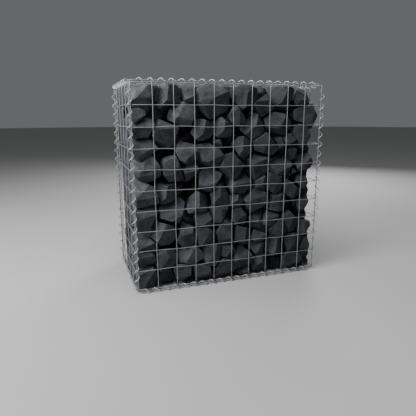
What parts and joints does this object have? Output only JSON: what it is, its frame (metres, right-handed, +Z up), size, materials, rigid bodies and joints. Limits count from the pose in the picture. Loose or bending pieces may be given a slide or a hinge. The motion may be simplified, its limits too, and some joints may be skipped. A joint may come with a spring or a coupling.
{
  "type": "gabion wall",
  "caption": "Free-standing wire basket of welded mesh panels, laced along its edges with spiral binders and filled with broken dark stone; a wall or retaining unit.",
  "frame": {"origin": "on the ground, under the middle of the basket", "axes": "+X along the wall to its right end, +Y from the front face to the back, +Z up"},
  "size_m": [1.0446, 0.5846, 1.0398],
  "materials": {
    "mesh_wire": "hot-dip galvanised, dull grey",
    "binder_wire": "galvanised, slightly brighter than the mesh",
    "stone": "broken basalt, matte"
  },
  "bodies": {
    "root": {"mesh_front": "mesh_wire", "mesh_back": "mesh_wire", "mesh_left": "mesh_wire", "mesh_right": "mesh_wire", "mesh_base": "mesh_wire", "mesh_lid": "mesh_wire", "binder_bottom_front": "binder_wire", "binder_bottom_back": "binder_wire", "binder_bottom_left": "binder_wire", "binder_bottom_right": "binder_wire", "binder_top_front": "binder_wire", "binder_top_back": "binder_wire", "binder_top_left": "binder_wire", "binder_top_right": "binder_wire", "binder_front_left": "binder_wire", "binder_front_right": "binder_wire", "binder_back_left": "binder_wire", "binder_back_right": "binder_wire", "stone_course_01": "stone", "stone_course_02": "stone", "stone_course_03": "stone", "stone_course_04": "stone", "stone_course_05": "stone", "stone_course_06": "stone", "stone_course_07": "stone", "stone_course_08": "stone", "stone_course_09": "stone", "stone_course_10": "stone"}
  },
  "joints": []
}
